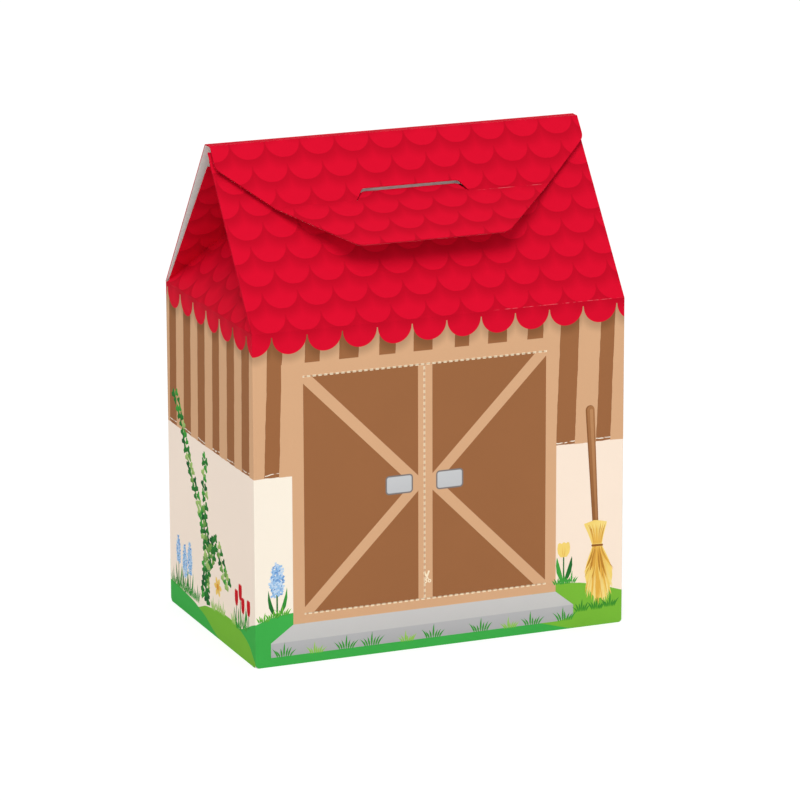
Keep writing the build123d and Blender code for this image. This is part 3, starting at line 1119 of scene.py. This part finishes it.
def tulip(garden, x, z, stem, cup, tone, deep, leaves=True):
    """A cup-shaped flower with three petal tips on a straight stem."""
    wide, tall = cup
    garden.bar((x, z), (x, z + stem), 0.8, 0.7, DARK_GREEN, DEEP_GREEN)
    if leaves:
        for lean, bend, base, tip in (
            (0.56, -4.0, MID_GREEN, MID_GREEN),
            (-0.62, 4.0, DARK_GREEN, DEEP_GREEN),
        ):
            size = (stem, 2.5)
            garden.leaf((x, z - 0.2), UPRIGHT + lean, size, bend, base, tip, 0.48, 0.8)
    foot = (x, z + stem - 0.4)
    outline = [(x + a * wide / 2, foot[1] + b * tall) for a, b in CUP]
    garden.patch(outline, tone)
    for lean in (0.36, -0.36):
        fold = (tall * 0.84, 0.5)
        garden.leaf(foot, UPRIGHT + lean, fold, -lean * wide * 0.8, deep, tone, 0.4)


def ivy(garden, scatter, strand, spread, gap=3.0, rows=(-1, 1)):
    """Lobed leaves beside a thin stem that runs along a strand of points."""
    tones = (DEEP_GREEN, DARK_GREEN, DARK_GREEN, MID_GREEN, PALE_GREEN, paint(120, 168, 84))
    for start, end in zip(strand, strand[1:]):
        garden.bar(start, end, 0.45, 0.4, PALE_GREEN, PALE_GREEN)
    for start, end in zip(strand, strand[1:]):
        start, end = Vector(start), Vector(end)
        aside = (end - start).normalized().orthogonal()
        count = max(1, round((end - start).length / gap))
        for n in range(count):
            for row in rows:
                at = start.lerp(end, (n + 0.5 + 0.22 * row + scatter.uniform(-0.1, 0.1)) / count)
                at += aside * spread * (row + scatter.uniform(-0.25, 0.25))
                tone = scatter.choice(tones)
                rim = tuple(c * 0.75 for c in tone)
                turn = scatter.uniform(-0.6, 0.6) - UPRIGHT
                garden.star(at, turn, scatter.uniform(2.2, 2.9), tone, rim, 5, 0.56)


class BARN_OT_front_garden(bpy.types.Operator):
    """Print the flowers, grass and broom on the front wall"""

    bl_idname = "barn.front_garden"
    bl_label = "Front garden print"

    def execute(self, context):
        scatter = random.Random(context.scene.barn_garden.seed)
        garden = GardenPrint("front_garden_print", FRONT, HALF_WIDTH - 0.5)
        hyacinth(garden, scatter, -84.0, 24.0, 27.4)
        for x, z, tall in ((-91.0, 22.6, 4.6), (-81.0, 24.8, 5.0), (-86.4, 24.0, 4.4)):
            tuft(garden, scatter, x, z, 8.4, tall, MID_GREEN, FRESH_GREEN, 6)
        tulip(garden, 63.8, 23.6, 13.0, (6.8, 7.6), YELLOW, GOLD)
        for x, tall in ((61.4, 4.6), (67.4, 6.0), (64.4, 4.6)):
            tuft(garden, scatter, x, 23.2, 8.8, tall, MID_GREEN, MID_GREEN, 6)
        for x in (-80.8, -49.2, -36.2, -4.4, 20.2, 47.4, 64.6):
            tuft(garden, scatter, x, 4.6, 12.6, 6.8, GRASS_GREEN, GRASS_GREEN)
        for x in (-64.4, -17.8, 35.6):
            tuft(garden, scatter, x, 4.5, 10.4, 5.6, FRESH_GREEN, PALE_GREEN)
        garden.finish("carton", "front_print")
        self.broom(scatter)
        return {"FINISHED"}

    TIE = Vector((81.5, 40.4))  # middle of the band that ties the straw
    TIED = 2.3  # half the width over which the straws leave the band

    def bundle(self, foot, head, half):
        """Outline of a bundle of straw, where half gives half its width from foot to head."""
        steps = 10
        right, left = [], []
        for k in range(steps + 1):
            up = k / steps
            x = foot[0] + (head[0] - foot[0]) * up
            z = foot[1] + (head[1] - foot[1]) * up
            right.append((x + half(up), z))
            left.append((x - half(up), z))
        return right + left[::-1]

    def broom(self, scatter):
        """A straw broom leaning on the wall, with grass round its foot."""
        garden = GardenPrint("broom_print", FRONT, HALF_WIDTH - 0.5)
        wood, lit_wood, dark_wood = paint(172, 120, 78), paint(192, 140, 96), paint(146, 96, 58)
        garden.bar((77.2, 108.4), (80.5, 51.6), 4.7, 3.4, dark_wood, dark_wood)
        garden.bar((77.6, 108.5), (80.8, 51.6), 3.9, 2.8, wood, dark_wood)
        garden.bar((77.9, 108.0), (81.0, 54.0), 1.7, 1.1, lit_wood, wood)
        skirt = self.bundle(
            (83.2, 13.6),
            self.TIE,
            lambda up: 2.6 + 4.65 * math.sin(math.pi * (1 - up) ** 1.15),
        )
        pale, brown = paint(252, 230, 150), paint(188, 128, 48)
        garden.patch(skirt, YELLOW)
        self.straws(garden, scatter, 50, 29.6, 3.0, GOLD, (YELLOW, pale, pale, GOLD))
        self.straws(garden, scatter, 34, 17.6, 5.0, GOLD, (GOLD, STRAW_BROWN, YELLOW, YELLOW))
        self.straws(garden, scatter, 9, 14.0, 3.6, STRAW_BROWN, (GOLD, brown))
        cup = self.bundle(
            self.TIE - Vector((0, 0.1)),
            (80.4, 53.1),
            lambda up: (2.6 + 4.2 * up**1.3) * math.sqrt(1.01 - up**24),
        )
        garden.patch(cup, YELLOW, paint(252, 226, 138))
        for k in range(16):
            share = (k + 0.5) / 8 - 1
            tone = scatter.choice((STRAW_BROWN, GOLD, YELLOW, paint(252, 232, 150)))
            at = self.TIE + Vector((share * self.TIED, 0.4))
            garden.leaf(at, UPRIGHT, (10.6, 0.8), -share * 3.2 + 0.6, GOLD, tone)
        garden.bar((79.0, 40.5), (84.1, 40.3), 1.1, 1.1, BAND_BROWN)
        for x, z in ((73.4, 8.2), (81.4, 8.4), (88.4, 9.0)):
            tuft(garden, scatter, x, z, 9.4, 6.0, paint(78, 158, 48), DARK_GREEN)
        garden.finish("carton", "front_print")

    def straws(self, garden, scatter, count, length, spread, base, tones):
        """A layer of straw fanning out below the broom's band."""
        for _ in range(count):
            share = scatter.uniform(-1, 1)
            drop = length * scatter.uniform(0.88, 1.05) * (1 - 0.2 * share * share)
            at = self.TIE + Vector((share * self.TIED, 0))
            size = (drop, scatter.uniform(0.8, 1.4))
            tip = scatter.choice(tones)
            turn = 0.05 + share * 0.1 - UPRIGHT
            garden.leaf(at, turn, size, share * spread, base, tip, belly=0.6)


class BARN_OT_side_gardens(bpy.types.Operator):
    """Print the ivy, flowers and grass on the side walls and the back wall"""

    bl_idname = "barn.side_gardens"
    bl_label = "Side and back garden prints"

    def execute(self, context):
        scatter = random.Random(context.scene.barn_garden.seed + 1)
        self.side(scatter, "left_garden_print", LEFT, 1)
        self.side(scatter, "right_garden_print", RIGHT, -1)
        self.back(scatter)
        return {"FINISHED"}

    def side(self, scatter, name, panel, way):
        garden = GardenPrint(name, panel, HALF_DEPTH - 0.6)
        for x, z, tall, head in (
            (-46.8, 10.6, 26.6, 0.5),
            (-37.8, 10.2, 24.6, 0.36),
            (-30.6, 10.6, 27.8, 0.42),
        ):
            hyacinth(garden, scatter, way * x, z, tall, head, 3.7)
        for x in (-54.0, -47.0, -41.0, -34.0, -27.0, -21.0):
            tuft(garden, scatter, way * x, 10.4, 9.0, 9.0, MID_GREEN, DARK_GREEN, 6)
        for x, z in ((37.0, 13.2), (45.0, 15.0)):
            tuft(garden, scatter, way * x, z, 9.0, 7.0, MID_GREEN, GRASS_GREEN)
        for x, z in ((2.0, 12.8), (9.0, 13.8), (15.0, 14.0), (30.0, 14.0)):
            tuft(garden, scatter, way * x, z, 8.0, 7.0, PALE_GREEN, PALE_GREEN, 6)
        tall = [(-13.0, 56.0), (-23.0, 69.0), (-32.0, 82.0), (-40.0, 97.0), (-49.5, 110.0)]
        short = [(-9.0, 56.0), (-7.2, 66.0), (-9.4, 74.0), (-8.2, 80.0), (-6.6, 88.0)]
        arch = [(0.0, 44.0), (8.0, 47.0), (13.5, 41.5), (17.0, 35.0), (23.5, 29.6)]
        for strand, spread, gap, rows in (
            (tall, 2.0, 4.4, (-1, 1)),
            (short, 1.9, 4.2, (-1, 1)),
            ([(-9.0, 13.8), (-8.0, 26.0), (-5.4, 38.0)], 3.5, 3.2, (-1, 0, 1)),
            ([(-6.0, 40.0), (-8.0, 48.0), (-12.0, 57.0)], 3.3, 3.1, (-1, 0, 1)),
            ([(-3.0, 36.0), (4.0, 43.0)], 3.4, 3.0, (-1, 0, 1)),
            (arch, 2.5, 3.3, (-1, 1)),
        ):
            ivy(garden, scatter, [(way * x, z) for x, z in strand], spread, gap, rows)
        for k in range(6):
            turn = k * math.tau / 6
            garden.leaf((way * 8.6, 26.0), turn, (5.2, 2.8), 0, GOLD, YELLOW, 0.6, 0.8)
        garden.star((way * 8.6, 26.0), 0.2, 1.6, paint(222, 142, 48), GOLD, 6, 0.8)
        for x, z in ((34.2, 24.4), (39.4, 28.4), (42.8, 22.6), (50.4, 23.4)):
            foot = 13.0 + 0.26 * (x - 34.0)
            tulip(garden, way * x, foot, z - foot, (4.6, 8.2), RED, DEEP_RED, leaves=False)
        for x, lean in ((33.5, 0.2), (36.6, -0.1), (40.5, 0.1), (45.5, -0.2), (48.6, 0.15)):
            foot = 13.2 + 0.26 * (x - 34.0)
            size = (10.0, 1.7)
            garden.leaf((way * x, foot), UPRIGHT + lean, size, 0.6, MID_GREEN, DARK_GREEN)
        garden.finish("carton", "side_print")

    def back(self, scatter):
        garden = GardenPrint("back_garden_print", BACK, HALF_WIDTH - 0.5)
        for x in (-70.0, -61.0, 66.0):
            hyacinth(garden, scatter, x, 15.0, 26.0)
        for x, tone, deep in ((-6.0, YELLOW, GOLD), (4.0, RED, DEEP_RED), (14.0, YELLOW, GOLD)):
            tulip(garden, x, 11.0, 15.0, (6.4, 7.6), tone, deep)
        for k in range(13):
            x = -88.0 + k * 14.6
            tone = (MID_GREEN, DARK_GREEN) if k % 3 else (FRESH_GREEN, PALE_GREEN)
            tuft(garden, scatter, x, 7.0, 12.0, 6.6, *tone)
        garden.finish("carton", "side_print")


# --------------------------------------------------------------------- stage

CAMERA_PLACE = (-0.81349, -1.98325, 0.67171)
CAMERA_AZIMUTH = math.radians(22.3837)
CAMERA_ELEVATION = math.radians(14.7692)
CAMERA_ROLL = math.radians(-0.177)
CAMERA_LENS = 205.976


def soft_lamp(name, place, size, power):
    lamp = bpy.data.lights.new(name, "AREA")
    lamp.shape = "DISK"
    lamp.size = size
    lamp.energy = power
    made = bpy.data.objects.new(name, lamp)
    made.location = place
    aim = Vector((0, 0, 0.11)) - Vector(place)
    made.rotation_euler = aim.to_track_quat("-Z", "Y").to_euler()
    bpy.context.scene.collection.objects.link(made)


class BARN_OT_stage(bpy.types.Operator):
    """Set up the pale floor, the soft light and the camera"""

    bl_idname = "barn.stage"
    bl_label = "Stage"

    def execute(self, context):
        scene, stage = context.scene, context.scene.barn_stage
        shape = bmesh.new()
        bmesh.ops.create_grid(shape, x_segments=1, y_segments=1, size=6)
        floor = mesh_object("studio_floor", shape)
        f = Finish("studio_floor_paint", {"Roughness": 0.9, "Specular IOR Level": 0.0})
        tone = f.laid(stage.floor, (stage.shadow,) * 3, f.seen())
        glow = f.laid((0, 0, 0), (1.08 - stage.shadow,) * 3, f.seen())
        f.show("Base Color", tone)
        f.show("Emission Color", glow)
        f.show("Emission Strength", 1.0)
        floor.data.materials.append(f.material)

        world = bpy.data.worlds.new("studio")
        world.use_nodes = True
        scene.world = world
        n = NodeMaker(world.node_tree)
        room = n.tree.nodes["Background"]
        n.feed(room.inputs["Color"], (1, 1, 1))
        n.feed(room.inputs["Strength"], n.seen() * (1 - stage.sky) + stage.sky)
        soft_lamp("key_lamp", (-1.0, -2.2, 3.0), 2.0, stage.key)
        soft_lamp("fill_lamp", (1.9, 1.6, 1.7), 1.6, stage.fill)

        lens = bpy.data.cameras.new("camera")
        lens.sensor_fit = "HORIZONTAL"
        lens.sensor_width = 36.0
        lens.lens = CAMERA_LENS
        camera = bpy.data.objects.new("camera", lens)
        az, el = CAMERA_AZIMUTH, CAMERA_ELEVATION
        right = Vector((math.cos(az), -math.sin(az), 0))
        view = Vector((math.sin(az) * math.cos(el), math.cos(az) * math.cos(el), -math.sin(el)))
        up = right.cross(view)
        c, s = math.cos(CAMERA_ROLL), math.sin(CAMERA_ROLL)
        turn = Matrix((right * c + up * s, up * c - right * s, -view)).transposed()
        camera.matrix_world = Matrix.Translation(CAMERA_PLACE) @ turn.to_4x4()
        scene.collection.objects.link(camera)
        scene.camera = camera
        scene.view_settings.view_transform = "Standard"
        return {"FINISHED"}


class BARN_PT_panel(bpy.types.Panel):
    """Toy barn pieces"""

    bl_idname = "BARN_PT_panel"
    bl_label = "Toy Barn"
    bl_space_type = "VIEW_3D"
    bl_region_type = "UI"
    bl_category = "Toy Barn"

    def draw(self, context):
        for operator in OPERATORS:
            self.layout.operator(operator.bl_idname)
        for group in GROUPS:
            settings = getattr(context.scene, group)
            box = self.layout.box()
            for prop in settings.bl_rna.properties:
                if prop.identifier not in ("rna_type", "name"):
                    box.prop(settings, prop.identifier)


GROUPS = {
    "barn_board": BarnBoard,
    "barn_roof": BarnRoof,
    "barn_siding": BarnSiding,
    "barn_doors": BarnDoors,
    "barn_garden": BarnGarden,
    "barn_stage": BarnStage,
}
OPERATORS = (
    BARN_OT_roof,
    BARN_OT_walls,
    BARN_OT_doors,
    BARN_OT_floor_flaps,
    BARN_OT_front_garden,
    BARN_OT_side_gardens,
    BARN_OT_stage,
)


def register():
    for group, kind in GROUPS.items():
        bpy.utils.register_class(kind)
        setattr(bpy.types.Scene, group, bpy.props.PointerProperty(type=kind))
    for kind in (*OPERATORS, BARN_PT_panel):
        bpy.utils.register_class(kind)


def unregister():
    for kind in (BARN_PT_panel, *reversed(OPERATORS)):
        bpy.utils.unregister_class(kind)
    for group, kind in reversed(list(GROUPS.items())):
        delattr(bpy.types.Scene, group)
        bpy.utils.unregister_class(kind)


def main():
    register()
    bpy.ops.barn.roof()
    bpy.ops.barn.walls()
    bpy.ops.barn.doors()
    bpy.ops.barn.floor_flaps()
    bpy.ops.barn.front_garden()
    bpy.ops.barn.side_gardens()
    bpy.ops.barn.stage()


if __name__ == "__main__":
    main()
